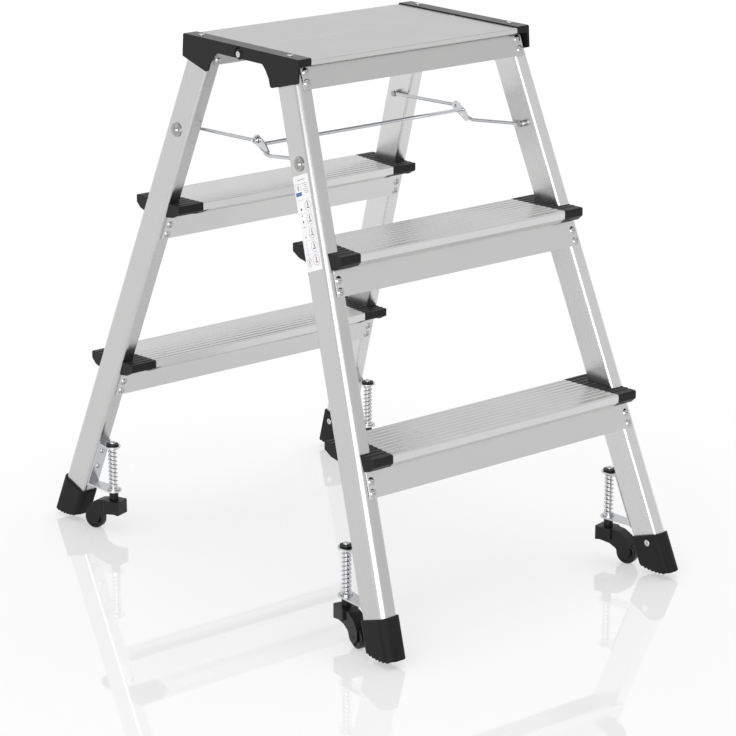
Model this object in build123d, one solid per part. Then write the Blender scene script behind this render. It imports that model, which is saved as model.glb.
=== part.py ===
from build123d import *
import math
import os

# Rolling double-sided step ladder: two hinged frames with two treads each and a split platform.
# Millimetres, +Z up, floor at z = 0, origin on the floor under the middle of the ladder.
# X runs along the treads, the front ladder stands at -Y and the rear ladder at +Y.
# Every shape is drawn once in the rear right quarter (+X, +Y) and mirrored to the others.

os.makedirs("parts", exist_ok=True)

# ---- overall ------------------------------------------------------------------------
FEET_LIFT = 10.0          # the sprung castors hold the feet this far off the floor
PLATFORM_TOP = 710.0      # standing surface above the floor at rest
UPPER_STEP_TOP = 481.8
LOWER_STEP_TOP = 248.7
LEAN = 0.3728             # outward travel in Y for each millimetre down a stile
SPLAY = 0.0874            # outward travel in X for each millimetre down a stile

# ---- stiles: hollow rounded section, measured level, at platform height -------------
STILE_OUTER_X = 188.06
STILE_FACE_Y = 105.25     # wide-side face that carries the aprons
STILE_BACK_Y = 57.86      # face that looks at the other ladder
STILE_THICK = 23.16
STILE_TAPER = 2.7         # the outer face draws in this much towards the back face
STILE_WALL = 2.0
STILE_TOP = 705.0
STILE_BOTTOM = 18.0
CORNER_OUTER = 9.0
CORNER_BACK = 5.5
CORNER_INNER = 3.0
CORNER_FACE_INNER = 4.5

# ---- treads -------------------------------------------------------------------------
SHEET = 2.2               # wall of the tread extrusion
STEP_NOSE = 25.8          # nose ahead of the stile face
STEP_BACK = 22.1          # rear edge behind the stile back face
NOSE_DEPTH = 10.5
NOSE_RADIUS = 2.5
APRON_OFFSET = 2.5        # apron skins outside the stile faces they are riveted to
STEP_APRON_DROP = 51.3
APRON_END_INSET = 8.7     # apron stops where the stile corner starts to round
RIB_PITCH = 9.55
RIB_COUNT = 9             # grooves between the ribs of a tread
FIRST_GROOVE = 6.4        # from the tread's back edge
GROOVE_HALF_TOP = 1.7
GROOVE_HALF_FLOOR = 0.6
GROOVE_DEPTH = 0.9
STEP_CAP_INSET = 5.4      # stile stands proud of the tread cap by this much
STEP_CAP_NOSE_LENGTH = 30.8
STEP_CAP_BACK_LENGTH = 40.1
CAP_CLEAR = 0.4
CAP_UNDER_REACH = 10.0    # underside of the cap runs this much further inboard at the back
STEP_BEND_DROP = 19.5     # where the nose folds back into the apron

# ---- platform -----------------------------------------------------------------------
PLATFORM_HALF_WIDTH = 190.9
PLATFORM_HALF_DEPTH = 120.0
PLATFORM_CAP_STRIP = 20.4
PLANK_TOP = 708.4         # the cap strips stand proud of the planks
PLATFORM_SEAM = 0.5       # half of the gap between the two planks
PLATFORM_NOSE = 8.5
PLATFORM_APRON_DROP = 38.3
PLATFORM_BACK_APRON_DROP = 36.0
PLATFORM_APRON_END = 182.6
PLATFORM_BACK_APRON_END = 178.5
SKIRT_THICK = 2.5
PLATFORM_EDGE = 2.0       # rounding of the plank edges
PLATFORM_SKIRT_SPLAY = 0.061
CAP_TOP_THICK = 9.5

# ---- main hinge ---------------------------------------------------------------------
HINGE_DROP = 10.2         # hinge axis under the standing surface
KNUCKLE = 7.0
KNUCKLE_CLEAR = 9.8
KNUCKLE_SPLIT = 183.8     # front knuckles outside this X, rear knuckles inside
KNUCKLE_INNER = 175.8
KNUCKLE_GAP = 0.2         # air on each side of the split
KNUCKLE_PROUD = 1.0       # boss outside the skirt
PIN_RADIUS = 3.0
PIN_HEAD = 4.0
RUNNING_FIT = 0.06        # radial gap between every pin and its turning bore

# ---- fixings ------------------------------------------------------------------------
RIVET_HEAD = 5.2
RIVET_SHANK = 2.0
BRACKET_RIVET_HEAD = 4.0
RIVET_DEPTH = 6.0
RIVET_PIT = 1.9           # radius of the pit the mandrel leaves
RIVET_PIT_FLOOR = 0.5     # above the skin
RIVET_INBOARD = 14.1
BACK_RIVET_INBOARD = 16.0
STEP_RIVET_DROPS = (31.5, 45.1)
PLATFORM_RIVET_DROPS = (17.0, 30.2)
SCREW_HEAD = 4.0
SCREW_SHANK = 1.9

# ---- feet ---------------------------------------------------------------------------
FOOT_WALL = 3.4
FOOT_RIM_BACK = 36.0      # rim height above the sole line at the back face
FOOT_RIM_FACE = 51.6
FOOT_SOLE_BULGE = 3.5
FOOT_TEETH = 8
FOOT_TOOTH = 1.9
FOOT_SCREW_HEIGHT = 36.0
FOOT_SCREW_FROM_FACE = 17.0

# ---- sprung castors -----------------------------------------------------------------
STEM_X = 226.5
STEM_Y = 254.5
STEM_RADIUS = 4.0
STEM_TOP = 130.0
STEM_BOTTOM = 36.0
BLOCK_TOP = 46.0          # top of the fork block
SLEEVE_RADIUS = 6.2
UPPER_DISC = 8.5
LOWER_DISC = 8.2
TAB_THICK = 2.2
UPPER_TAB = 124.2         # top of the upper bracket tab
LOWER_TAB = 60.8          # top of the lower bracket tab
TAB_TIP = 11.0            # round tab end, concentric with the stem
BRACKET_WIDTH = 17.0
BRACKET_INBOARD = 14.05
BRACKET_TOP = 126.4
BRACKET_BOTTOM = 57.0
BRACKET_RIVETS = (109.7, 86.2)
SPRING_RADIUS = 5.6
SPRING_WIRE = 0.9
SPRING_COILS = 10
WHEEL_RADIUS = 15.0
WHEEL_WIDTH = 11.0
WHEEL_Y = 286.0
AXLE_RADIUS = 2.2
ARM_THICK = 2.6
ARM_GAP = 0.5             # between wheel face and fork arm
BLOCK_HALF = 12.0         # half width of the fork block round the stem
BLOCK_BACK = 14.0
BLOCK_AHEAD = 11.0
HEADINGS = {"front_left": -10.0, "front_right": -12.0, "rear_left": -20.0, "rear_right": -12.0}

# ---- folding brace ------------------------------------------------------------------
BRACE_PIVOT_Y = 129.0
BRACE_PIVOT_Z = 582.7
BRACE_JOINT_Y = -4.0      # pivot between front and rear brace wires
BRACE_JOINT_Z = 587.6
BRACE_WIRE = 2.3
BRACE_WIRE_X = 171.4
BRACE_EYE = 4.4
BRACE_EYE_THICK = 3.2
BRACE_PLATE_X = 167.6     # middle of the joint plate
BRACE_PLATE_THICK = 2.0
BRACE_LOW_Y = -25.0       # where the front wire leaves the joint plate
BRACE_LOW_Z = 573.4
CROSS_ROD_Y = -17.0
CROSS_ROD_Z = 584.6
CROSS_ROD_RADIUS = 2.5
BRACE_PIN = 2.2
BRACE_BUSH = 3.8
BRACE_WASHER = 9.3


def outer_x(z):
    """X of the stile's outer face at height z."""
    return STILE_OUTER_X + SPLAY * (PLATFORM_TOP - z)


def face_y(z):
    """Y of the stile's wide outer face at height z."""
    return STILE_FACE_Y + LEAN * (PLATFORM_TOP - z)


def back_y(z):
    """Y of the stile's back face at height z."""
    return STILE_BACK_Y + LEAN * (PLATFORM_TOP - z)


def outline(points, radii=None):
    """Closed flat face through the points, each corner with its own radius."""
    face = make_face(Polyline(points, close=True))
    for point, radius in zip(points, radii or []):
        if radius > 0:
            corner = face.vertices().sort_by_distance((point[0], point[1], 0))[0]
            face = fillet(corner, radius)
    return face


def along_x(points, x_from, x_to, radii=None):
    """Solid with the given side view (Y, Z) between two X positions."""
    face = Plane.YZ * outline(points, radii)
    return Pos(x_from, 0, 0) * extrude(face, amount=x_to - x_from)


def along_y(points, y_from, y_to):
    """Solid with the given front view (X, Z) between two Y positions."""
    face = Plane.XZ * outline(points)
    return Pos(0, y_to, 0) * extrude(face, amount=y_to - y_from)


def along_z(points, z_from, z_to, radii=None):
    """Solid with the given plan view (X, Y) between two heights."""
    face = outline(points, radii)
    return Pos(0, 0, z_from) * extrude(face, amount=z_to - z_from)


def rod(start, end, radius):
    """Round bar between two points."""
    direction = Vector(*end) - Vector(*start)
    plane = Plane(origin=start, z_dir=direction)
    return extrude(plane * Circle(radius), amount=direction.length)


def x_disc(x_from, x_to, y, z, radius):
    """Disc whose axis runs along X."""
    return rod((x_from, y, z), (x_to, y, z), radius)


def quarter(shape, side, end):
    """Copy a rear right shape to the named side and end."""
    if side == "left":
        shape = mirror(shape, about=Plane.YZ)
    if end == "front":
        shape = mirror(shape, about=Plane.XZ)
    return shape


def stile_prism(z_high, z_low, grow):
    """Filled prism along the stile, its level section grown all round."""
    x_out = outer_x(z_high) + grow
    x_in = outer_x(z_high) - STILE_THICK - grow
    y_out = face_y(z_high) + grow
    y_in = back_y(z_high) - grow
    points = [(x_in, y_in), (x_out - STILE_TAPER, y_in), (x_out, y_out), (x_in, y_out)]
    corners = [CORNER_INNER, CORNER_BACK, CORNER_OUTER, CORNER_FACE_INNER]
    face = outline(points, [max(corner + grow, 1.0) for corner in corners])
    height = z_high - z_low
    path = Vector(SPLAY * height, LEAN * height, -height)
    return Pos(0, 0, z_high) * Solid.extrude(face.faces()[0], path)


def domed_rivet(point, outward, head, shank, depth):
    """Domed head on a surface point with its shank going in; returns rivet and bore."""
    out = Vector(*outward).normalized()
    base = Vector(*point)
    plane = Plane(origin=base, z_dir=out)
    dome = Sphere(head * 1.25)
    cut = Box(6 * head, 6 * head, 6 * head, align=(Align.CENTER, Align.CENTER, Align.MAX))
    dome = Pos(0, 0, -head * 0.75) * dome - cut
    pit = Cylinder(RIVET_PIT, 10, align=(Align.CENTER, Align.CENTER, Align.MIN))
    dome = dome - Pos(0, 0, RIVET_PIT_FLOOR) * pit
    stem = rod(base - out * depth, base + out * 0.2, shank)
    bore = rod(base - out * (depth + 1), base + out, shank + 0.02)
    return plane * dome + stem, bore


def pan_screw(point, outward, head, shank, depth):
    """Low round head with a cross recess, and its shank; returns screw and bore."""
    out = Vector(*outward).normalized()
    base = Vector(*point)
    plane = Plane(origin=base, z_dir=out)
    disc = extrude(Circle(head), amount=1.8)
    disc = fillet(disc.edges().group_by(Axis.Z)[-1], 1.0)
    bars = Rectangle(head * 1.05, 0.9) + Rectangle(0.9, head * 1.05)
    disc = disc - Pos(0, 0, 0.9) * extrude(bars, amount=2.0)
    stem = rod(base - out * depth, base + out * 0.3, shank)
    bore = rod(base - out * (depth + 1), base + out, shank + 0.02)
    return plane * disc + stem, bore


# ---- where the fixings go -----------------------------------------------------------
FACE_OUT = (0, 1, LEAN)
BACK_OUT = (0, -1, -LEAN)


def apron_rivet_points():
    """Points on the apron skins at one end of each tread, rear right quarter."""
    places = []
    for top, drops in ((UPPER_STEP_TOP, STEP_RIVET_DROPS), (LOWER_STEP_TOP, STEP_RIVET_DROPS),
                       (PLATFORM_TOP, PLATFORM_RIVET_DROPS)):
        for drop in drops:
            z = top - drop
            places.append((outer_x(z) - RIVET_INBOARD, face_y(z) + APRON_OFFSET, z))
    return places


def back_rivet_points():
    """Points on the inner apron skins at one end of each tread, rear right quarter."""
    places = []
    for top, drops in ((UPPER_STEP_TOP, STEP_RIVET_DROPS), (LOWER_STEP_TOP, STEP_RIVET_DROPS),
                       (PLATFORM_TOP, PLATFORM_RIVET_DROPS)):
        for drop in drops:
            z = top - drop
            places.append((outer_x(z) - BACK_RIVET_INBOARD, back_y(z) - APRON_OFFSET, z))
    return places


def bracket_rivet_points():
    """Points on the castor bracket skin, rear right quarter."""
    places = []
    for z in BRACKET_RIVETS:
        places.append((outer_x(z) - BRACKET_INBOARD, back_y(z) - TAB_THICK, z))
    return places


def foot_screw_point():
    """Point on the inner side of the foot sleeve, rear right quarter."""
    z = FEET_LIFT + FOOT_SCREW_HEIGHT
    return (outer_x(z) - STILE_THICK - FOOT_WALL, face_y(z) - FOOT_SCREW_FROM_FACE, z)


APRON_RIVETS = [domed_rivet(p, FACE_OUT, RIVET_HEAD, RIVET_SHANK, RIVET_DEPTH) for p in apron_rivet_points()]
BACK_RIVETS = [domed_rivet(p, BACK_OUT, RIVET_HEAD, RIVET_SHANK, RIVET_DEPTH) for p in back_rivet_points()]
BRACKET_FIXINGS = [domed_rivet(p, BACK_OUT, BRACKET_RIVET_HEAD, RIVET_SHANK, RIVET_DEPTH)
                   for p in bracket_rivet_points()]
FOOT_SCREW = pan_screw(foot_screw_point(), (-1, 0, -SPLAY), 4.6, SCREW_SHANK, 8.0)
BRACE_BORE = x_disc(140, 230, BRACE_PIVOT_Y, BRACE_PIVOT_Z, BRACE_PIN + 0.02)


# ---- stile --------------------------------------------------------------------------
def make_stile():
    """Hollow stile with the bores for its rivets, screw and brace pin."""
    wall = stile_prism(STILE_TOP, STILE_BOTTOM, 0) - stile_prism(STILE_TOP, STILE_BOTTOM, -STILE_WALL)
    for _, bore in APRON_RIVETS + BACK_RIVETS + BRACKET_FIXINGS + [FOOT_SCREW]:
        wall = wall - bore
    return wall - BRACE_BORE


# ---- tread --------------------------------------------------------------------------
def ribbed_line(y_back, y_nose, z):
    """Points along a tread's top from its back edge to its nose, with shallow grooves."""
    points = [(y_back, z)]
    for index in range(RIB_COUNT):
        middle = y_back + FIRST_GROOVE + index * RIB_PITCH
        points.append((middle - GROOVE_HALF_TOP, z))
        points.append((middle - GROOVE_HALF_FLOOR, z - GROOVE_DEPTH))
        points.append((middle + GROOVE_HALF_FLOOR, z - GROOVE_DEPTH))
        points.append((middle + GROOVE_HALF_TOP, z))
    return points + [(y_nose, z)]


def apron_ends(top, drop, inset, slope):
    """Front view that trims a tread's apron parallel to the stiles."""
    high = outer_x(top) - inset
    low = high + slope * (drop + 5)
    return [(-high, top + 5), (high, top + 5), (low, top - drop - 5), (-low, top - drop - 5)]


def cap_plan(top, reach):
    """Plan view of the tread cap with its slanting inner edge, reaching a little further inboard."""
    side = outer_x(top) - STEP_CAP_INSET
    nose = face_y(top) + STEP_NOSE + 5
    back = back_y(top) - STEP_BACK - 5
    return [(side - STEP_CAP_BACK_LENGTH - reach, back), (side, back), (side, nose),
            (side - STEP_CAP_NOSE_LENGTH, nose)]


def cap_prism(top, reach, z_from, z_to, beyond):
    """Upright prism over the cap's plan, its outer side moved outwards."""
    middle = outer_x(top) - STEP_CAP_BACK_LENGTH / 2
    plan = [(x + beyond if x > middle else x, y) for x, y in cap_plan(top, reach)]
    return along_z(plan, z_from, z_to)


def make_step(top):
    """Ribbed inverted-U tread with a folded nose and a riveted apron on both long sides."""
    face = face_y(top)
    rear = back_y(top)
    nose = face + STEP_NOSE
    back = rear - STEP_BACK
    bend = top - STEP_BEND_DROP
    low = top - STEP_APRON_DROP
    ceiling = top - SHEET - GROOVE_DEPTH - 0.3
    ribs = ribbed_line(back, nose, top)
    skin = ribs + [
        (nose, top - NOSE_DEPTH), (face + 18.0, top - 17.3), (face_y(bend) + APRON_OFFSET, bend),
        (face_y(low) + APRON_OFFSET, low), (face_y(low) - 5.0, low - 1.5), (face_y(low) - 5.5, low + 0.6),
        (face_y(low), low + SHEET), (face_y(ceiling), ceiling), (back_y(ceiling), ceiling),
        (back_y(low), low), (back_y(low) - APRON_OFFSET, low), (back_y(bend) - APRON_OFFSET, bend),
        (rear - 9.0, top - 17.3), (back, top - NOSE_DEPTH)]
    radii = [0.0] * len(skin)
    radii[0] = NOSE_RADIUS / 2
    radii[len(ribs) - 1] = NOSE_RADIUS
    half = outer_x(top) + 20
    tread = along_x(skin, -half, half, radii)
    nose_hollow = [(face + 4.4, ceiling), (nose - SHEET, ceiling), (nose - SHEET, top - 9.6),
                   (face + 17.2, top - 14.9), (face + 9.4, top - 17.1)]
    back_hollow = [(rear - 1.3, ceiling), (back + SHEET, ceiling), (back + SHEET, top - 9.6),
                   (rear - 9.6, top - 14.9), (rear + 3.6, top - 17.1)]
    for hollow in (nose_hollow, back_hollow):
        tread = tread - along_x(hollow, -half, half)
    lip_cut = along_x([(face_y(low) - 8, low + 2), (face_y(low) - 0.2, low + 2), (face_y(low) + 1.8, low - 4),
                       (face_y(low) - 8, low - 4)], outer_x(top) - 26, half)
    tread = tread - lip_cut - mirror(lip_cut, about=Plane.YZ)
    tread = tread & along_y(apron_ends(top, STEP_APRON_DROP, APRON_END_INSET, SPLAY), 0, nose + 40)
    for reach, z_from in ((0.0, top - NOSE_DEPTH), (CAP_UNDER_REACH, top - STEP_BEND_DROP - 0.4)):
        cap_room = cap_prism(top, reach, z_from, top + 5, 60.0)
        if reach > 0:
            cap_room = cap_room & Pos(0, 0, top - NOSE_DEPTH - 50) * Box(900, 900, 100)
        tread = tread - cap_room - mirror(cap_room, about=Plane.YZ)
    for _, bore in APRON_RIVETS + BACK_RIVETS:
        tread = tread - bore - mirror(bore, about=Plane.YZ)
    return tread


def make_step_cap(top):
    """Plastic end cap wrapped round the stile, open towards the outside."""
    face = face_y(top)
    nose = face + STEP_NOSE + 0.2
    rear = back_y(top)
    back = rear - STEP_BACK - 0.2
    side = outer_x(top) - STEP_CAP_INSET
    ribs = ribbed_line(back, nose, top)
    skin = ribs + [(nose, top - NOSE_DEPTH), (face + 18.0, top - 17.3), (face + 9.5, top - 19.6),
                   (face + 5.0, top - 18.2), (rear + 5.0, top - 19.4), (rear - 1.0, top - 18.6),
                   (rear - 9.0, top - 17.3), (back, top - NOSE_DEPTH)]
    radii = [0.0] * len(skin)
    radii[len(ribs) - 1] = NOSE_RADIUS
    block = along_x(skin, side - STEP_CAP_BACK_LENGTH - CAP_UNDER_REACH, side, radii)
    upper = cap_prism(top, 0.0, top - NOSE_DEPTH, top + 5, 0.0)
    under = cap_prism(top, CAP_UNDER_REACH, top - 40, top - NOSE_DEPTH, 0.0)
    block = block & (upper + under)
    pocket = along_x([(back + 3.5, top - 4.0), (rear - 3.0, top - 4.0), (rear - 3.0, top - 30),
                      (back + 3.5, top - 30)], side - STEP_CAP_BACK_LENGTH + 4.0, side - 3.0)
    block = block - pocket - stile_prism(top + 20, top - 40, CAP_CLEAR)
    return block.solids().sort_by(SortBy.VOLUME)[-1]


# ---- platform -----------------------------------------------------------------------
def make_plank():
    """Rear half of the standing platform, with an apron on both faces of the stiles."""
    top = PLANK_TOP
    nose = PLATFORM_HALF_DEPTH
    shelf = PLATFORM_TOP - PLATFORM_NOSE
    apron_top = PLATFORM_TOP - 12.0
    apron_low = PLATFORM_TOP - PLATFORM_APRON_DROP
    ceiling = top - SHEET
    skin = [(PLATFORM_SEAM, top), (nose, top), (nose, shelf), (face_y(apron_top) + 0.4, shelf),
            (face_y(apron_top) + 0.4, apron_top), (face_y(apron_top) + APRON_OFFSET, apron_top),
            (face_y(apron_low) + APRON_OFFSET, apron_low), (face_y(apron_low), apron_low),
            (face_y(ceiling), ceiling), (PLATFORM_SEAM + SHEET, ceiling),
            (PLATFORM_SEAM + SHEET, top - 6.0), (PLATFORM_SEAM, top - 6.0)]
    radii = [PLATFORM_EDGE, 2.0] + [0.0] * (len(skin) - 2)
    plank = along_x(skin, -PLATFORM_APRON_END, PLATFORM_APRON_END, radii)
    back_low = PLATFORM_TOP - PLATFORM_BACK_APRON_DROP
    seat = ceiling + 0.5
    back_apron = along_x([(back_y(seat) - APRON_OFFSET, seat), (back_y(seat), seat),
                          (back_y(back_low), back_low), (back_y(back_low) - APRON_OFFSET, back_low)],
                         -PLATFORM_BACK_APRON_END, PLATFORM_BACK_APRON_END)
    plank = plank + back_apron
    inner = PLATFORM_HALF_WIDTH - PLATFORM_CAP_STRIP
    room_low = PLATFORM_TOP - CAP_TOP_THICK - 0.4
    room = along_z([(inner, -50), (260, -50), (260, 250), (inner, 250)], room_low, PLATFORM_TOP + 5)
    plank = plank - room - mirror(room, about=Plane.YZ)
    for _, bore in APRON_RIVETS + BACK_RIVETS:
        plank = plank - bore - mirror(bore, about=Plane.YZ)
    return plank


def cap_side_view():
    """Side view (Y, Z) of a rear platform cap, without its knuckle."""
    top = PLATFORM_TOP
    return [(PLATFORM_SEAM, top), (PLATFORM_HALF_DEPTH, top), (PLATFORM_HALF_DEPTH, top - 29.3),
            (74.0, top - 41.2), (65.8, top - 43.4), (62.2, top - 32.0), (53.8, top - 21.0),
            (47.5, top - 15.6), (PLATFORM_SEAM, top - 15.6)]


def make_platform_cap(end, screw_bore):
    """Moulded corner of the platform: top strip, side skirt and hinge knuckle."""
    top = PLATFORM_TOP
    inner = PLATFORM_HALF_WIDTH - PLATFORM_CAP_STRIP
    side = along_x(cap_side_view(), KNUCKLE_INNER, PLATFORM_HALF_WIDTH + 6,
                   [0, 2.0, 2.0, 3.0, 5.0, 4.0, 0, 4.0, 0])
    strip = along_x([(PLATFORM_SEAM, top), (PLATFORM_HALF_DEPTH, top),
                     (PLATFORM_HALF_DEPTH, top - CAP_TOP_THICK),
                     (PLATFORM_SEAM, top - CAP_TOP_THICK)], inner, PLATFORM_HALF_WIDTH + 6, [0, 2.0, 0, 0])
    body = side + strip
    low = PLATFORM_HALF_WIDTH + PLATFORM_SKIRT_SPLAY * 60
    body = body & along_y([(inner, top + 5), (PLATFORM_HALF_WIDTH, top + 5), (PLATFORM_HALF_WIDTH, top),
                           (low, top - 60), (inner, top - 60)], -20, PLATFORM_HALF_DEPTH + 5)
    hinge_z = top - HINGE_DROP
    split = KNUCKLE_SPLIT
    if end == "front":
        body = body - x_disc(inner - 1, split + KNUCKLE_GAP, 0, hinge_z, KNUCKLE_CLEAR)
        knuckle = x_disc(split + 0.4, PLATFORM_HALF_WIDTH + KNUCKLE_PROUD, 0, hinge_z, KNUCKLE)
        bore = x_disc(inner - 1, 200, 0, hinge_z, PIN_RADIUS + 0.02)
    else:
        body = body - x_disc(split - KNUCKLE_GAP, 200, 0, hinge_z, KNUCKLE_CLEAR)
        knuckle = x_disc(KNUCKLE_INNER + 0.4, split - 0.4, 0, hinge_z, KNUCKLE)
        bore = x_disc(inner - 1, 200, 0, hinge_z, PIN_RADIUS + RUNNING_FIT)
    body = body + knuckle - bore
    skin = PLATFORM_HALF_WIDTH - SKIRT_THICK
    under_strip = along_y([(inner - 5, top - CAP_TOP_THICK), (skin, top - CAP_TOP_THICK),
                           (skin + PLATFORM_SKIRT_SPLAY * 60, top - 60), (inner - 5, top - 60)],
                          9.0, PLATFORM_HALF_DEPTH + 5)
    body = body - under_strip - stile_prism(top + 0.5 - CAP_TOP_THICK + 4.6, top - 80, CAP_CLEAR)
    return body - screw_bore


def make_hinge_pin():
    """Turned hinge pin with a socketed head outside and a peened end inside."""
    z = PLATFORM_TOP - HINGE_DROP
    head_x = PLATFORM_HALF_WIDTH + KNUCKLE_PROUD
    pin = x_disc(KNUCKLE_INNER - 2.0, head_x + 0.2, 0, z, PIN_RADIUS)
    head = x_disc(head_x, head_x + 1.6, 0, z, PIN_HEAD) - x_disc(head_x + 0.4, head_x + 3, 0, z, 1.5)
    return pin + head


# ---- foot ---------------------------------------------------------------------------
def make_foot():
    """Moulded foot sleeve with a bulged, toothed sole."""
    sole = FEET_LIFT
    y_face = face_y(sole) + FOOT_WALL
    y_back = back_y(sole) - FOOT_WALL
    width = y_face - y_back
    pitch = width / FOOT_TEETH
    under = []
    for index in range(FOOT_TEETH * 2 + 1):
        along = index / (FOOT_TEETH * 2)
        bulge = FOOT_SOLE_BULGE * (1 - (2 * along - 1) ** 2)
        tooth = FOOT_TOOTH if index % 2 else 0.0
        under.append((y_face - width * along, sole - bulge + tooth))
    rim_face = sole + FOOT_RIM_FACE
    rim_back = sole + FOOT_RIM_BACK
    view = under + [(back_y(rim_back) - FOOT_WALL - 3, rim_back - 2.4),
                    (face_y(rim_face) + FOOT_WALL + 6, rim_face + 1.8)]
    view[0] = (y_face + 4, under[0][1])
    view[len(under) - 1] = (y_back - 4, under[-1][1])
    sleeve = stile_prism(sole + 70, sole - 12, FOOT_WALL) & along_x(view, 150, 320)
    return sleeve - stile_prism(sole + 80, STILE_BOTTOM, 0.05) - FOOT_SCREW[1]


# ---- castor bracket and castor --------------------------------------------------------
def make_bracket():
    """Bent strip riveted to the back of the stile, with two level tabs for the stem."""
    def edge(z):
        return outer_x(z) - BRACKET_INBOARD

    high = BRACKET_TOP
    low = BRACKET_BOTTOM
    plate = along_x([(back_y(high), high), (back_y(high) - TAB_THICK, high),
                     (back_y(low) - TAB_THICK, low), (back_y(low), low)], 200, 260)
    half = BRACKET_WIDTH / 2
    plate = plate & along_y([(edge(high) - half, high), (edge(high) + half, high),
                             (edge(low) + half, low), (edge(low) - half, low)], 200, 400)
    for tab_top, bore in ((UPPER_TAB, STEM_RADIUS), (LOWER_TAB, SLEEVE_RADIUS)):
        middle = edge(tab_top)
        reach = back_y(tab_top) - 0.3
        strip = outline([(middle - half, reach), (STEM_X - TAB_TIP, STEM_Y), (STEM_X + TAB_TIP, STEM_Y),
                         (middle + half, reach)])
        round_end = Pos(STEM_X, STEM_Y) * Circle(TAB_TIP)
        sheet = extrude(strip + round_end, amount=TAB_THICK)
        plate = plate + Pos(0, 0, tab_top - TAB_THICK) * sheet
        plate = plate - rod((STEM_X, STEM_Y, tab_top - 8), (STEM_X, STEM_Y, tab_top + 4), bore + RUNNING_FIT)
    for _, bore in BRACKET_FIXINGS:
        plate = plate - bore
    return plate - stile_prism(200, 30, 0)


def make_stem():
    """Sliding castor stem with its thrust washer, retaining clip and guide sleeve."""
    def level(z_from, z_to, radius):
        return rod((STEM_X, STEM_Y, z_from), (STEM_X, STEM_Y, z_to), radius)

    stem = level(STEM_BOTTOM, STEM_TOP, STEM_RADIUS)
    stem = stem + level(LOWER_TAB + 0.15, LOWER_TAB + 2.0, LOWER_DISC)
    stem = stem + level(UPPER_TAB + 0.3, UPPER_TAB + 2.4, UPPER_DISC)
    stem = stem + level(BLOCK_TOP + 0.2, LOWER_TAB + 0.5, SLEEVE_RADIUS)
    return fillet(stem.edges().filter_by(GeomType.CIRCLE).group_by(Axis.Z)[-1], 2.0)


def make_spring():
    """Compression spring between the thrust washer and the upper tab."""
    bottom = LOWER_TAB + 2.0 + SPRING_WIRE + 0.1
    height = UPPER_TAB - TAB_THICK - 0.1 - SPRING_WIRE - bottom
    path = Helix(pitch=height / SPRING_COILS, height=height, radius=SPRING_RADIUS)
    section = Plane(origin=path @ 0, z_dir=path % 0) * Circle(SPRING_WIRE)
    coil = sweep(section, path=path, is_frenet=True)
    return Pos(STEM_X, STEM_Y, bottom) * coil


def swivelled(shape, heading):
    """Turn a castor shape about its stem."""
    moved = Pos(-STEM_X, -STEM_Y, 0) * shape
    return Pos(STEM_X, STEM_Y, 0) * Rot(0, 0, heading) * moved


def make_fork():
    """Castor fork: square block round the stem foot, a curved hood with two arms, and the axle."""
    trail = WHEEL_Y - STEM_Y
    half = WHEEL_WIDTH / 2 + ARM_GAP + ARM_THICK
    view = [(-BLOCK_BACK + 1, BLOCK_TOP), (10.0, BLOCK_TOP), (22.0, 44.0), (33.0, 38.0), (41.0, 28.0),
            (trail + 10, 15.0), (trail + 2.0, 5.5), (trail - 8.5, 9.0), (trail - 13.0, 20.0), (8.0, 25.0),
            (-BLOCK_BACK + 1, 27.5)]
    radii = [1.0, 4.0, 10.0, 10.0, 10.0, 8.0, 8.0, 7.0, 6.0, 4.0, 1.0]
    body = along_x([(STEM_Y + y, z) for y, z in view], STEM_X - half, STEM_X + half, radii)
    block = along_x([(STEM_Y - BLOCK_BACK, BLOCK_TOP), (STEM_Y + BLOCK_AHEAD, BLOCK_TOP),
                     (STEM_Y + BLOCK_AHEAD, 31.0), (STEM_Y - BLOCK_BACK, 27.0)],
                    STEM_X - BLOCK_HALF, STEM_X + BLOCK_HALF)
    block = fillet(block.edges().filter_by(Axis.Z), 2.0)
    body = body + block
    wheel_room = x_disc(STEM_X - half + ARM_THICK, STEM_X + half - ARM_THICK, WHEEL_Y, WHEEL_RADIUS,
                        WHEEL_RADIUS + 1.2)
    below = Pos(STEM_X, WHEEL_Y + 6, WHEEL_RADIUS - 20) * Box(2 * half - 2 * ARM_THICK, 44, 40)
    body = body - wheel_room - below
    body = body - rod((STEM_X, STEM_Y, STEM_BOTTOM - 0.4), (STEM_X, STEM_Y, 60), STEM_RADIUS + RUNNING_FIT)
    axle = x_disc(STEM_X - half - 0.5, STEM_X + half + 0.5, WHEEL_Y, WHEEL_RADIUS, AXLE_RADIUS)
    return body + axle


def make_wheel():
    """Moulded wheel with rounded tread and a recessed web."""
    half = WHEEL_WIDTH / 2
    wheel = x_disc(STEM_X - half, STEM_X + half, WHEEL_Y, WHEEL_RADIUS, WHEEL_RADIUS)
    wheel = fillet(wheel.edges().filter_by(GeomType.CIRCLE), 2.2)
    for x_from, x_to in ((STEM_X - half - 1, STEM_X - half + 1.5), (STEM_X + half - 1.5, STEM_X + half + 1)):
        recess = x_disc(x_from, x_to, WHEEL_Y, WHEEL_RADIUS, 11.0)
        hub = x_disc(x_from, x_to, WHEEL_Y, WHEEL_RADIUS, 4.6)
        wheel = wheel - (recess - hub)
    return wheel - x_disc(STEM_X - 10, STEM_X + 10, WHEEL_Y, WHEEL_RADIUS, AXLE_RADIUS + RUNNING_FIT)


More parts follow.
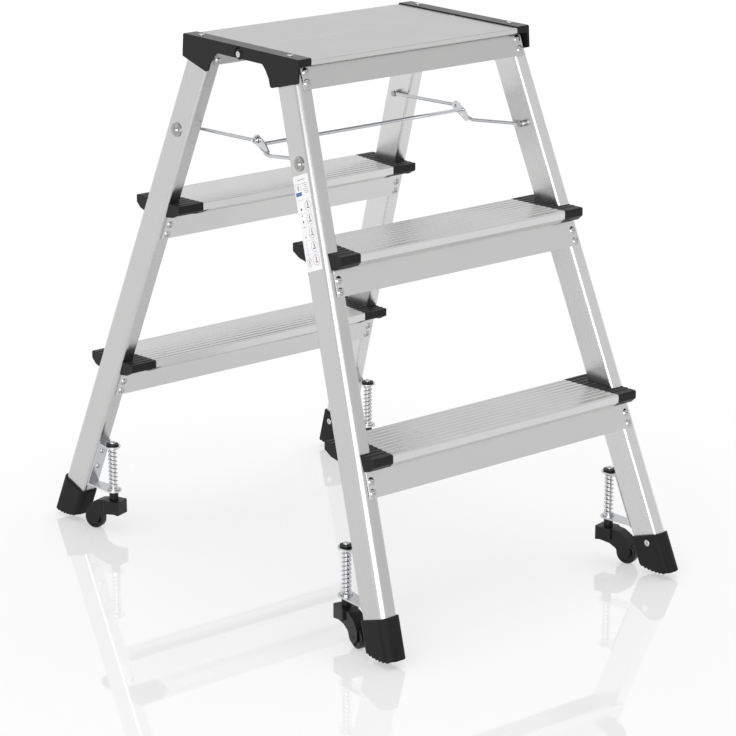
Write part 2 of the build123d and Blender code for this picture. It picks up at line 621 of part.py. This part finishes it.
# ---- folding brace ------------------------------------------------------------------
def make_brace_pin():
    """Pin through the stile: washer and dome outside, spacer, shank and head inside."""
    y = BRACE_PIVOT_Y
    z = BRACE_PIVOT_Z
    skin = outer_x(z) - STILE_TAPER / 2
    taper = STILE_TAPER / (STILE_FACE_Y - STILE_BACK_Y)
    tilt = Plane(origin=(skin + 0.03, y, z), z_dir=(1, -taper, SPLAY - LEAN * taper))
    washer = tilt * extrude(Circle(BRACE_WASHER), amount=1.5)
    dome = Pos(0, 0, -1.0) * Sphere(6.4)
    dome = dome & Pos(0, 0, 5) * Box(20, 20, 8)
    inside = outer_x(z) - STILE_THICK
    half = BRACE_EYE_THICK / 2
    inner_end = BRACE_WIRE_X - half - 1.9
    pin = x_disc(inner_end, skin + 1.0, y, z, BRACE_PIN)
    spacer = x_disc(BRACE_WIRE_X + half + 0.3, inside + 2, y, z, BRACE_BUSH) - stile_prism(640, 540, 0.02)
    head = x_disc(inner_end, BRACE_WIRE_X - half - 0.3, y, z, BRACE_BUSH)
    return pin + washer + tilt * dome + spacer + head


def hull_plate(discs, x_from, x_to):
    """Flat link plate through a chain of discs given as (y, z, radius)."""
    shape = None
    for (y_a, z_a, r_a), (y_b, z_b, r_b) in zip(discs, discs[1:]):
        length = math.hypot(y_b - y_a, z_b - z_a)
        bearing = math.atan2(z_b - z_a, y_b - y_a)
        lean = math.acos((r_a - r_b) / length)
        corners = []
        for y, z, r, turn in ((y_a, z_a, r_a, lean), (y_b, z_b, r_b, lean), (y_b, z_b, r_b, -lean),
                              (y_a, z_a, r_a, -lean)):
            corners.append((y + r * math.cos(bearing + turn), z + r * math.sin(bearing + turn)))
        piece = along_x(corners, x_from, x_to)
        piece = piece + x_disc(x_from, x_to, y_a, z_a, r_a) + x_disc(x_from, x_to, y_b, z_b, r_b)
        shape = piece if shape is None else shape + piece
    return shape


def flatten_end(wire, y, z):
    """Give a brace wire a flat round eye at one end."""
    low = BRACE_WIRE_X - BRACE_EYE_THICK / 2
    high = BRACE_WIRE_X + BRACE_EYE_THICK / 2
    wire = wire - x_disc(high, high + 5, y, z, BRACE_EYE) - x_disc(low - 5, low, y, z, BRACE_EYE)
    return wire + x_disc(low, high, y, z, BRACE_EYE)


def make_front_brace():
    """Front brace wire (right hand) ending in the joint plate."""
    y = -BRACE_PIVOT_Y
    z = BRACE_PIVOT_Z
    wire = rod((BRACE_WIRE_X, y, z), (BRACE_WIRE_X, BRACE_LOW_Y - 8, BRACE_LOW_Z - 1.0), BRACE_WIRE)
    wire = wire + rod((BRACE_WIRE_X, BRACE_LOW_Y - 8, BRACE_LOW_Z - 1.0),
                      (BRACE_WIRE_X, BRACE_LOW_Y, BRACE_LOW_Z + 1.2), BRACE_WIRE)
    wire = wire + Pos(BRACE_WIRE_X, BRACE_LOW_Y - 8, BRACE_LOW_Z - 1.0) * Sphere(BRACE_WIRE)
    half = BRACE_PLATE_THICK / 2
    plate = hull_plate([(BRACE_JOINT_Y, BRACE_JOINT_Z, 6.8), (CROSS_ROD_Y + 1.0, CROSS_ROD_Z - 3.0, 6.4),
                        (BRACE_LOW_Y, BRACE_LOW_Z + 0.8, 4.2)], BRACE_PLATE_X - half, BRACE_PLATE_X + half)
    weld = rod((BRACE_PLATE_X, BRACE_LOW_Y, BRACE_LOW_Z + 1.0),
               (BRACE_WIRE_X, BRACE_LOW_Y, BRACE_LOW_Z + 1.0), 2.2)
    plate = plate - x_disc(150, 200, BRACE_JOINT_Y, BRACE_JOINT_Z, 2.4)
    slot = hull_plate([(-12.6, 577.4 + 0.9, 1.1), (-19.0, 573.2 + 3.0, 1.1)], 150, 200)
    brace = flatten_end(wire, y, z) + plate + weld - slot
    brace = brace - x_disc(150, 200, y, z, BRACE_PIN + RUNNING_FIT)
    return brace - x_disc(150, 200, CROSS_ROD_Y, CROSS_ROD_Z, CROSS_ROD_RADIUS + 0.02)


def make_rear_brace():
    """Rear brace wire (right hand) with a flattened eye at each end."""
    wire = rod((BRACE_WIRE_X, BRACE_PIVOT_Y, BRACE_PIVOT_Z),
               (BRACE_WIRE_X, BRACE_JOINT_Y, BRACE_JOINT_Z), BRACE_WIRE)
    wire = flatten_end(flatten_end(wire, BRACE_PIVOT_Y, BRACE_PIVOT_Z), BRACE_JOINT_Y, BRACE_JOINT_Z)
    wire = wire - x_disc(150, 200, BRACE_PIVOT_Y, BRACE_PIVOT_Z, BRACE_PIN + RUNNING_FIT)
    return wire - x_disc(150, 200, BRACE_JOINT_Y, BRACE_JOINT_Z, 2.4)


def make_cross_rod():
    """Bar between the two joint plates; pulling it up folds the brace."""
    reach = BRACE_PLATE_X + BRACE_PLATE_THICK / 2 + 0.3
    return x_disc(-reach, reach, CROSS_ROD_Y, CROSS_ROD_Z, CROSS_ROD_RADIUS)


# ---- build and write ----------------------------------------------------------------
def both_sides(shapes, end):
    """Group a list of rear right solids with their left copies, at one end."""
    copies = []
    for shape in shapes:
        for side in ("left", "right"):
            copies.append(quarter(shape, side, end))
    return Compound(children=[solid for copy in copies for solid in copy.solids()])


def write(name, shape):
    """Write one named part."""
    export_step(shape, os.path.join("parts", name + ".step"))


stile = make_stile()
steps = {"upper": make_step(UPPER_STEP_TOP), "lower": make_step(LOWER_STEP_TOP)}
step_caps = {"upper": make_step_cap(UPPER_STEP_TOP), "lower": make_step_cap(LOWER_STEP_TOP)}
plank = make_plank()
screw_place = (PLATFORM_HALF_WIDTH - 9.0, 92.0, PLATFORM_TOP)
platform_screw = pan_screw(screw_place, (0, 0, 1), SCREW_HEAD, SCREW_SHANK, 7.0)
foot = make_foot()
bracket = make_bracket()
stem = make_stem()
spring = make_spring()
fork = make_fork()
wheel = make_wheel()
brace_pin = make_brace_pin()

for end in ("front", "rear"):
    platform_cap = make_platform_cap(end, platform_screw[1])
    write(end + "_platform", quarter(plank, "right", end))
    for level in ("upper", "lower"):
        write(end + "_" + level + "_step", quarter(steps[level], "right", end))
        for side in ("left", "right"):
            write(end + "_" + level + "_" + side + "_cap", quarter(step_caps[level], side, end))
    rivets = [rivet for rivet, _ in APRON_RIVETS + BACK_RIVETS + BRACKET_FIXINGS]
    write(end + "_rivets", both_sides(rivets, end))
    write(end + "_screws", both_sides([platform_screw[0], FOOT_SCREW[0]], end))
    write(end + "_brace_pins", both_sides([brace_pin], end))
    for side in ("left", "right"):
        corner = end + "_" + side
        write(corner + "_stile", quarter(stile, side, end))
        write(corner + "_platform_cap", quarter(platform_cap, side, end))
        write(corner + "_foot", quarter(foot, side, end))
        write(corner + "_bracket", quarter(bracket, side, end))
        write(corner + "_castor_stem", quarter(stem, side, end))
        write(corner + "_castor_spring", quarter(spring, side, end))
        write(corner + "_castor_fork", quarter(swivelled(fork, HEADINGS[corner]), side, end))
        write(corner + "_castor_wheel", quarter(swivelled(wheel, HEADINGS[corner]), side, end))

write("hinge_pins", both_sides([make_hinge_pin()], "rear"))
for side in ("left", "right"):
    write("front_" + side + "_brace", quarter(make_front_brace(), side, "rear"))
    write("rear_" + side + "_brace", quarter(make_rear_brace(), side, "rear"))
write("brace_cross_rod", make_cross_rod())
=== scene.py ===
import math
import bpy
import bmesh
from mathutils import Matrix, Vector


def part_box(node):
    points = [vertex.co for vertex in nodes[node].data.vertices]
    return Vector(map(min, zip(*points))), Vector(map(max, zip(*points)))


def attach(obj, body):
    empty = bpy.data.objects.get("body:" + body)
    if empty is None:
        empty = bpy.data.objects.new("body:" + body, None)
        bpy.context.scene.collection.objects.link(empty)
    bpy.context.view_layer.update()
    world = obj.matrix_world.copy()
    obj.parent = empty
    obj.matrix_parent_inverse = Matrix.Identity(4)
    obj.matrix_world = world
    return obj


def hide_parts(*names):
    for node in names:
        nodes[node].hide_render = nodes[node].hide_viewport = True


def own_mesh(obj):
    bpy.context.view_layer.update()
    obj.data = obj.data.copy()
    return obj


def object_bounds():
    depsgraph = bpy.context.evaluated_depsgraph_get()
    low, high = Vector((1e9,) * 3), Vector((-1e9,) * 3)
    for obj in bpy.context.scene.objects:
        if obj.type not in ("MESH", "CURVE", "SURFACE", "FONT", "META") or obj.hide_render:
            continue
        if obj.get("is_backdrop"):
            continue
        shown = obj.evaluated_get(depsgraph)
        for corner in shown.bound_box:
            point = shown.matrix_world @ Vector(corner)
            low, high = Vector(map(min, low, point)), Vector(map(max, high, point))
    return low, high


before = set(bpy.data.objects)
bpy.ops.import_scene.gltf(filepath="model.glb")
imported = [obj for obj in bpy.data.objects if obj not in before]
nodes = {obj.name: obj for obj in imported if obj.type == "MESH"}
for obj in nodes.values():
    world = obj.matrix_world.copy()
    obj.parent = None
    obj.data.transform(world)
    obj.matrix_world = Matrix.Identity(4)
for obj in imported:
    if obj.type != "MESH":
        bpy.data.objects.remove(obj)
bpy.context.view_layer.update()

# the frame's own proportions, in metres
PLATFORM_TOP_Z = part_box("front_left_platform_cap")[1].z
LEAN = 0.3728
SPLAY = 0.0874
SIGN = {"left": -1, "right": 1, "front": -1, "rear": 1}


# ---- camera ---------------------------------------------------------------------------
camera_data = bpy.data.cameras.new("camera")
camera = bpy.data.objects.new("camera", camera_data)
bpy.context.scene.collection.objects.link(camera)
camera.location = (-2.3156, -2.8359, 1.3699)
camera.rotation_euler = (math.pi / 2 - 0.29636, 0.0, -0.68947)
PICTURE = 736             # the picture is square
SENSOR = 36.0
FOCAL = 2855.48           # in the picture's own units, like the shifts
SHIFT_X = -2.70
SHIFT_Y = -0.54
camera_data.sensor_width = SENSOR
camera_data.lens = FOCAL / PICTURE * SENSOR
camera_data.shift_x = SHIFT_X / PICTURE
camera_data.shift_y = SHIFT_Y / PICTURE
camera_data.clip_end = 100.0
bpy.context.scene.camera = camera


# ---- floor and light ------------------------------------------------------------------
def mesh_object(name, verts, faces):
    mesh = bpy.data.meshes.new(name)
    mesh.from_pydata(verts, [], faces)
    mesh.update()
    obj = bpy.data.objects.new(name, mesh)
    bpy.context.scene.collection.objects.link(obj)
    return obj


FLOOR_HALF = 20
FLOOR_TONE = 0.47
FLOOR_GLOW = 0.45         # lifts the floor to the pure white of a studio sweep
FLOOR_ROUGH = 0.03
FLOOR_GLOSS = 0.85
WORLD_LIGHT = 0.84
corners = [(-FLOOR_HALF, -FLOOR_HALF, 0), (FLOOR_HALF, -FLOOR_HALF, 0),
           (FLOOR_HALF, FLOOR_HALF, 0), (-FLOOR_HALF, FLOOR_HALF, 0)]
floor = mesh_object("floor", corners, [(0, 1, 2, 3)])
floor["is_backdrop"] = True
floor_mat = bpy.data.materials.new("floor_gloss_white")
floor_mat.use_nodes = True
shader = floor_mat.node_tree.nodes["Principled BSDF"]
shader.inputs["Base Color"].default_value = (FLOOR_TONE, FLOOR_TONE, FLOOR_TONE, 1)
shader.inputs["Emission Color"].default_value = (1.0, 1.0, 1.0, 1)
shader.inputs["Emission Strength"].default_value = FLOOR_GLOW
shader.inputs["Roughness"].default_value = FLOOR_ROUGH
shader.inputs["Specular IOR Level"].default_value = FLOOR_GLOSS
floor.data.materials.append(floor_mat)

world = bpy.data.worlds.new("studio")
bpy.context.scene.world = world
world.use_nodes = True
world.node_tree.nodes["Background"].inputs["Color"].default_value = (1.0, 1.0, 1.0, 1)
world.node_tree.nodes["Background"].inputs["Strength"].default_value = WORLD_LIGHT


def softbox(name, location, target, size, power):
    data = bpy.data.lights.new(name, "AREA")
    data.shape = "RECTANGLE"
    data.size = size[0]
    data.size_y = size[1]
    data.energy = power
    light = bpy.data.objects.new(name, data)
    bpy.context.scene.collection.objects.link(light)
    light.location = location
    aim = Vector(target) - Vector(location)
    light.rotation_euler = aim.to_track_quat("-Z", "Y").to_euler()
    return light


softbox("overhead", (0.4, 0.6, 3.8), (0, 0, 0), (4.4, 4.4), 24)
softbox("camera_side", (-3.7, -3.0, 0.9), (0, 0, 0.35), (4.6, 2.4), 94)

scene = bpy.context.scene
scene.view_settings.view_transform = "Standard"
scene.view_settings.look = "None"
scene.view_settings.exposure = 0.0
scene.view_settings.gamma = 1.0


# ---- materials ------------------------------------------------------------------------
def new_material(name):
    mat = bpy.data.materials.new(name)
    mat.use_nodes = True
    return mat, mat.node_tree, mat.node_tree.nodes["Principled BSDF"]


def add(tree, kind, **inputs):
    node = tree.nodes.new(kind)
    for key, value in inputs.items():
        node.inputs[key.replace("_", " ")].default_value = value
    return node


def noise_on(tree, vector, scale, detail=3.0, rough=0.55):
    node = add(tree, "ShaderNodeTexNoise", Scale=scale, Detail=detail, Roughness=rough)
    tree.links.new(vector, node.inputs["Vector"])
    return node.outputs["Fac"]


def spread(tree, value, low, high, start=0.3, stop=0.7):
    node = add(tree, "ShaderNodeMapRange")
    node.inputs["From Min"].default_value = start
    node.inputs["From Max"].default_value = stop
    node.inputs["To Min"].default_value = low
    node.inputs["To Max"].default_value = high
    tree.links.new(value, node.inputs["Value"])
    return node.outputs["Result"]


def object_vector(tree, stretch=(1, 1, 1), turn=(0, 0, 0)):
    coord = tree.nodes.new("ShaderNodeTexCoord")
    mapping = tree.nodes.new("ShaderNodeMapping")
    mapping.inputs["Scale"].default_value = stretch
    mapping.inputs["Rotation"].default_value = turn
    tree.links.new(coord.outputs["Object"], mapping.inputs["Vector"])
    return mapping.outputs["Vector"]


def tinted(tree, factor, dark, light):
    node = tree.nodes.new("ShaderNodeMix")
    node.data_type = "RGBA"
    node.inputs["A"].default_value = (*dark, 1)
    node.inputs["B"].default_value = (*light, 1)
    tree.links.new(factor, node.inputs["Factor"])
    return node.outputs["Result"]


def bump(tree, shader, height, strength, distance, edge=0.0):
    node = tree.nodes.new("ShaderNodeBump")
    node.inputs["Strength"].default_value = strength
    node.inputs["Distance"].default_value = distance
    tree.links.new(height, node.inputs["Height"])
    if edge > 0:
        soft = tree.nodes.new("ShaderNodeBevel")
        soft.samples = 4
        soft.inputs["Radius"].default_value = edge
        tree.links.new(soft.outputs["Normal"], node.inputs["Normal"])
    tree.links.new(node.outputs["Normal"], shader.inputs["Normal"])


def aluminium(name, turn=(0, 0, 0), along=(3, 520, 520), base=0.645, rough=0.28):
    """Satin anodised extrusion: die lines along its length and faint clouding."""
    mat, tree, shader = new_material(name)
    lines = noise_on(tree, object_vector(tree, along, turn), 1.0, 4.0, 0.6)
    cloud = noise_on(tree, object_vector(tree), 14.0, 3.0)
    colour = tinted(tree, spread(tree, cloud, 0, 1), (base - 0.012, base - 0.01, base - 0.012),
                    (base + 0.01, base + 0.01, base + 0.006))
    tree.links.new(colour, shader.inputs["Base Color"])
    tree.links.new(spread(tree, lines, rough - 0.01, rough + 0.01), shader.inputs["Roughness"])
    shader.inputs["Metallic"].default_value = 1.0
    bump(tree, shader, lines, 0.01, 0.0001, 0.0006)
    return mat


def black_plastic(name, base=0.008, rough=0.42, grain=900.0, strength=0.2, specular=0.2,
                  top=0.0):
    """Moulded black plastic with a fine spark-eroded grain, optionally painted paler where it faces up, as
    painted light from above.
    """
    mat, tree, shader = new_material(name)
    fine = noise_on(tree, object_vector(tree), grain, 2.0)
    cloud = noise_on(tree, object_vector(tree), 30.0, 3.0)
    colour = tinted(tree, spread(tree, cloud, 0, 1), (base * 0.8, base * 0.8, base * 0.85),
                    (base * 1.3, base * 1.3, base * 1.35))
    # painted light: faces turned up are painted paler and given a higher specular level, a painted sheen
    # from above
    if top > 0:
        coord = tree.nodes.new("ShaderNodeTexCoord")
        split = tree.nodes.new("ShaderNodeSeparateXYZ")
        tree.links.new(coord.outputs["Normal"], split.inputs["Vector"])
        upward = spread(tree, split.outputs["Z"], 0.0, 1.0, 0.8, 0.98)
        painted_top_light = tree.nodes.new("ShaderNodeMix")
        painted_top_light.data_type = "RGBA"
        tree.links.new(upward, painted_top_light.inputs["Factor"])
        tree.links.new(colour, painted_top_light.inputs["A"])
        painted_top_light.inputs["B"].default_value = (top, top, top, 1)
        colour = painted_top_light.outputs["Result"]
        tree.links.new(spread(tree, upward, specular, 0.75, 0.0, 1.0), shader.inputs["Specular IOR Level"])
    else:
        shader.inputs["Specular IOR Level"].default_value = specular
    tree.links.new(colour, shader.inputs["Base Color"])
    tree.links.new(spread(tree, cloud, rough - 0.05, rough + 0.07), shader.inputs["Roughness"])
    bump(tree, shader, fine, strength, 0.00015, 0.0008)
    return mat


def zinc(name, base=(0.62, 0.63, 0.65), rough=0.16):
    """Bright zinc plate, smooth, with a very soft clouding."""
    mat, tree, shader = new_material(name)
    cloud = noise_on(tree, object_vector(tree), 90.0, 2.0)
    colour = tinted(tree, spread(tree, cloud, 0, 1), (base[0] * 0.93, base[1] * 0.93, base[2] * 0.94), base)
    tree.links.new(colour, shader.inputs["Base Color"])
    tree.links.new(spread(tree, cloud, rough - 0.03, rough + 0.05), shader.inputs["Roughness"])
    shader.inputs["Metallic"].default_value = 1.0
    return mat, tree, shader, colour


def math_node(tree, operation, first, second):
    node = tree.nodes.new("ShaderNodeMath")
    node.operation = operation
    for socket, value in zip(node.inputs, (first, second)):
        if isinstance(value, float):
            socket.default_value = value
        else:
            tree.links.new(value, socket)
    return node.outputs[0]


def stem_material(name, sleeve_top, disc_low, disc_high):
    """Zinc stem and lower disc, with sleeve and upper disc in black plastic, told apart by height."""
    mat, tree, shader, metal = zinc(name)
    split = tree.nodes.new("ShaderNodeSeparateXYZ")
    tree.links.new(object_vector(tree), split.inputs["Vector"])
    height = split.outputs["Z"]
    sleeve = math_node(tree, "LESS_THAN", height, sleeve_top)
    disc = math_node(tree, "MULTIPLY", math_node(tree, "GREATER_THAN", height, disc_low),
                     math_node(tree, "LESS_THAN", height, disc_high))
    plastic = math_node(tree, "MAXIMUM", sleeve, disc)
    colour = tree.nodes.new("ShaderNodeMix")
    colour.data_type = "RGBA"
    tree.links.new(plastic, colour.inputs["Factor"])
    tree.links.new(metal, colour.inputs["A"])
    colour.inputs["B"].default_value = (0.008, 0.008, 0.009, 1)
    tree.links.new(colour.outputs["Result"], shader.inputs["Base Color"])
    tree.links.new(math_node(tree, "SUBTRACT", 1.0, plastic), shader.inputs["Metallic"])
    tree.links.new(math_node(tree, "ADD", math_node(tree, "MULTIPLY", plastic, 0.25), 0.17),
                   shader.inputs["Roughness"])
    shader.inputs["Specular IOR Level"].default_value = 0.25
    return mat


def print_stock(name, colour, rough=0.5):
    """Printed film: one ink or the white base, slightly uneven."""
    mat, tree, shader = new_material(name)
    cloud = noise_on(tree, object_vector(tree), 120.0, 3.0)
    tone = tinted(tree, spread(tree, cloud, 0, 1), tuple(0.94 * part for part in colour), colour)
    tree.links.new(tone, shader.inputs["Base Color"])
    tree.links.new(spread(tree, cloud, rough - 0.05, rough + 0.05), shader.inputs["Roughness"])
    shader.inputs["Specular IOR Level"].default_value = 0.3
    return mat


tread_metal = aluminium("tread_aluminium", along=(3, 520, 520), base=0.65, rough=0.25)
plank_metal = aluminium("plank_aluminium", along=(3, 420, 420), base=0.56, rough=0.28)
# painted light and shade: the left stiles are painted darker and the right stiles lighter, as shaded and
# lit copies of one aluminium
STILE_PAINTED_LIGHT_TONE = {"left": 0.57, "right": 0.68}
stile_metal = {}
for end in ("front", "rear"):
    for side in ("left", "right"):
        tilt_x = math.atan(LEAN) * SIGN[end]
        tilt_y = -math.atan(SPLAY) * SIGN[side]
        stile_metal[end, side] = aluminium("stile_aluminium_" + end + "_" + side,
                                           (-tilt_x, -tilt_y, 0), (520, 520, 3), STILE_PAINTED_LIGHT_TONE[side])
cap_black = black_plastic("cap_plastic")
# the platform cap's up-facing faces get painted light: a paler colour and more sheen
platform_cap_black = black_plastic("platform_cap_plastic", top=0.055)
pin_metal = zinc("brace_pin_steel", (0.40, 0.39, 0.38), 0.20)[0]
foot_black = black_plastic("foot_plastic", 0.009, 0.55, 1100.0, 0.3, 0.18)
fork_black = black_plastic("fork_plastic", 0.008, 0.36, 700.0, 0.15, 0.25)
wheel_black = black_plastic("wheel_plastic", 0.006, 0.30, 500.0, 0.08, 0.3)
zinc_steel = zinc("zinc_steel")[0]
rivet_metal = zinc("rivet_aluminium", (0.50, 0.50, 0.50), 0.17)[0]
STEM_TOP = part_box("front_left_castor_stem")[1].z
STEM_SLEEVE_TOP = 0.0609
STEM_DISC_LOW = 0.1243
STEM_BARE_END = 0.0033
stem_finish = stem_material("stem_zinc_and_plastic", STEM_SLEEVE_TOP, STEM_DISC_LOW,
                            STEM_TOP - STEM_BARE_END)


def dress(node, mat):
    obj = nodes[node]
    obj.data.materials.clear()
    obj.data.materials.append(mat)


for name in nodes:
    end = name.split("_")[0]
    side = name.split("_")[1] if "_" in name else ""
    if name.endswith("_stile"):
        dress(name, stile_metal[end, side])
    elif name.endswith("_step"):
        dress(name, tread_metal)
    elif name.endswith("_platform"):
        dress(name, plank_metal)
    elif name.endswith("_platform_cap"):
        dress(name, platform_cap_black)
    elif name.endswith("_brace_pins"):
        dress(name, pin_metal)
    elif name.endswith("_cap"):
        dress(name, cap_black)
    elif name.endswith("_foot"):
        dress(name, foot_black)
    elif name.endswith("_fork"):
        dress(name, fork_black)
    elif name.endswith("_wheel"):
        dress(name, wheel_black)
    elif name.endswith("_castor_stem"):
        dress(name, stem_finish)
    elif name.endswith("_rivets"):
        dress(name, rivet_metal)
    else:
        dress(name, zinc_steel)

# ---- castor springs, wound as coils that ride on their stems -----------------------------
SPRING_WIRE = 0.0009
SPRING_TURNS = 10


def coil_mesh(name, low, high, hand_x, hand_y):
    """Round wire wound inside the box low..high, closed at both ends."""
    steps = SPRING_TURNS * 32
    sides = 12
    radius = (high.x - low.x) / 2 - SPRING_WIRE
    middle = (low + high) / 2
    rise = high.z - low.z - 2 * SPRING_WIRE
    verts = []
    for step in range(steps + 1):
        turn = 2 * math.pi * SPRING_TURNS * step / steps
        height = low.z + SPRING_WIRE + rise * step / steps
        for side in range(sides):
            around = 2 * math.pi * side / sides
            reach = radius + SPRING_WIRE * math.cos(around)
            verts.append((middle.x + hand_x * reach * math.cos(turn),
                          middle.y + hand_y * reach * math.sin(turn),
                          height + SPRING_WIRE * math.sin(around)))
    faces = [tuple(range(sides)), tuple(range(steps * sides, (steps + 1) * sides))]
    for step in range(steps):
        for side in range(sides):
            near = step * sides
            after = (side + 1) % sides
            faces.append((near + side, near + after, near + sides + after, near + sides + side))
    coil = mesh_object(name, verts, faces)
    tidy = bmesh.new()
    tidy.from_mesh(coil.data)
    bmesh.ops.recalc_face_normals(tidy, faces=tidy.faces)
    for face in tidy.faces:
        face.smooth = len(face.verts) == 4
    tidy.to_mesh(coil.data)
    tidy.free()
    return coil


for end in ("front", "rear"):
    for side in ("left", "right"):
        corner = end + "_" + side
        low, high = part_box(corner + "_castor_spring")
        coil = coil_mesh(corner + "_spring_coil", low, high, SIGN[side], SIGN[end])
        coil.data.materials.append(zinc_steel)
        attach(coil, corner + "_castor_stem")
        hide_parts(corner + "_castor_spring")
        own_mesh(coil)

# ---- printed label on the front left stile ----------------------------------------------
LABEL_TOP = 0.578
LABEL_LENGTH = 0.1197
LABEL_FRONT = 0.008
LABEL_BACK = 0.041
STILE_TOP_X = 0.18806
STILE_TOP_Y = 0.10525
TAPER = 2.7 / 47.39

down = Vector((-SPLAY, -LEAN, -1)).normalized()
level = Vector((TAPER, 1, 0)).normalized()
across = (level - down * level.dot(down)).normalized()
out = across.cross(down).normalized()
if out.x > 0:
    out = -out
fall = PLATFORM_TOP_Z - LABEL_TOP
label_origin = Vector((-(STILE_TOP_X + SPLAY * fall), -(STILE_TOP_Y + LEAN * fall), LABEL_TOP))
label = bmesh.new()


def label_point(width, length, height):
    return label_origin + across * width + down * length + out * height


def patch(loop, low, high, ink):
    """Closed thin patch on the label: loop of (width, length) in millimetres."""
    bottom = [label.verts.new(label_point(w / 1000, d / 1000, low / 1000)) for w, d in loop]
    top = [label.verts.new(label_point(w / 1000, d / 1000, high / 1000)) for w, d in loop]
    faces = [label.faces.new(top), label.faces.new(list(reversed(bottom)))]
    for i in range(len(loop)):
        k = (i + 1) % len(loop)
        faces.append(label.faces.new((bottom[i], bottom[k], top[k], top[i])))
    for face in faces:
        face.material_index = ink


INK_LOW = 0.16            # ink sits this far above the stile, in millimetres
INK_HIGH = 0.19


def bar(w_from, w_to, d_from, d_to, ink):
    patch([(w_from, d_from), (w_to, d_from), (w_to, d_to), (w_from, d_to)], INK_LOW, INK_HIGH, ink)


def circle(width, length, radius, count=28):
    steps = [2 * math.pi * i / count for i in range(count)]
    return [(width + radius * math.cos(a), length + radius * math.sin(a)) for a in steps]


def ring(width, length, radius, thick, ink):
    outer = circle(width, length, radius)
    inner = circle(width, length, radius - thick)
    for i in range(len(outer)):
        k = (i + 1) % len(outer)
        patch([outer[i], outer[k], inner[k], inner[i]], INK_LOW, INK_HIGH, ink)


WHITE, DARK, BLUE, GREY, RED = range(5)
length_mm = LABEL_LENGTH * 1000
patch([(LABEL_FRONT * 1000, 0), (LABEL_BACK * 1000, 0), (LABEL_BACK * 1000, length_mm),
       (LABEL_FRONT * 1000, length_mm)], 0.03, 0.13, WHITE)
bar(16, 33, 5.2, 6.4, GREY)
bar(26.5, 39.5, 10.5, 11.0, GREY)
bar(26.5, 27.0, 10.5, 25.5, GREY)
bar(39.0, 39.5, 10.5, 25.5, GREY)
bar(27.0, 39.0, 20.8, 25.5, BLUE)
bar(31.0, 34.5, 13.0, 18.5, GREY)
for row in range(6):
    bar(12.0, 23.5 - 2.5 * (row % 3), 10.5 + 2.4 * row, 11.3 + 2.4 * row, GREY)
for row in range(5):
    centre = 39.0 + 17.0 * row
    bar(9.5, 39.5, centre - 8.7, centre - 8.4, GREY)
    ring(18.0, centre, 6.9, 0.7, GREY)
    bar(17.2, 18.8, centre - 3.6, centre + 1.0, DARK if row < 4 else RED)
    bar(15.2, 20.8, centre + 1.8, centre + 3.0, DARK if row < 4 else RED)
    patch([(18.0, centre - 5.4), (19.3, centre - 4.1), (16.7, centre - 4.1)], INK_LOW, INK_HIGH, DARK)
for place, half in ((42.0, 1.9), (50.0, 1.2), (57.5, 1.7), (64.0, 1.0), (77.0, 1.3)):
    diamond = [(33.0, place - half), (33.0 + half, place), (33.0, place + half), (33.0 - half, place)]
    patch(diamond, INK_LOW, INK_HIGH, DARK)
bar(32.6, 33.0, 84.0, 98.5, GREY)
for tick in range(6):
    bar(33.4, 35.2, 84.5 + 2.6 * tick, 84.9 + 2.6 * tick, GREY)
ring(33.0, 108.5, 5.2, 0.7, GREY)
bar(32.3, 33.7, 105.8, 110.8, DARK)
label_mesh = bpy.data.meshes.new("label")
label.to_mesh(label_mesh)
label.free()
for ink, colour in (("label_film", (0.86, 0.86, 0.87)), ("label_ink_dark", (0.06, 0.06, 0.07)),
                    ("label_ink_blue", (0.07, 0.17, 0.36)), ("label_ink_grey", (0.42, 0.43, 0.45)),
                    ("label_ink_red", (0.36, 0.05, 0.06))):
    label_mesh.materials.append(print_stock(ink, colour))
label_piece = bpy.data.objects.new("label", label_mesh)
bpy.context.scene.collection.objects.link(label_piece)
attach(label_piece, "front_frame")

low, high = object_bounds()
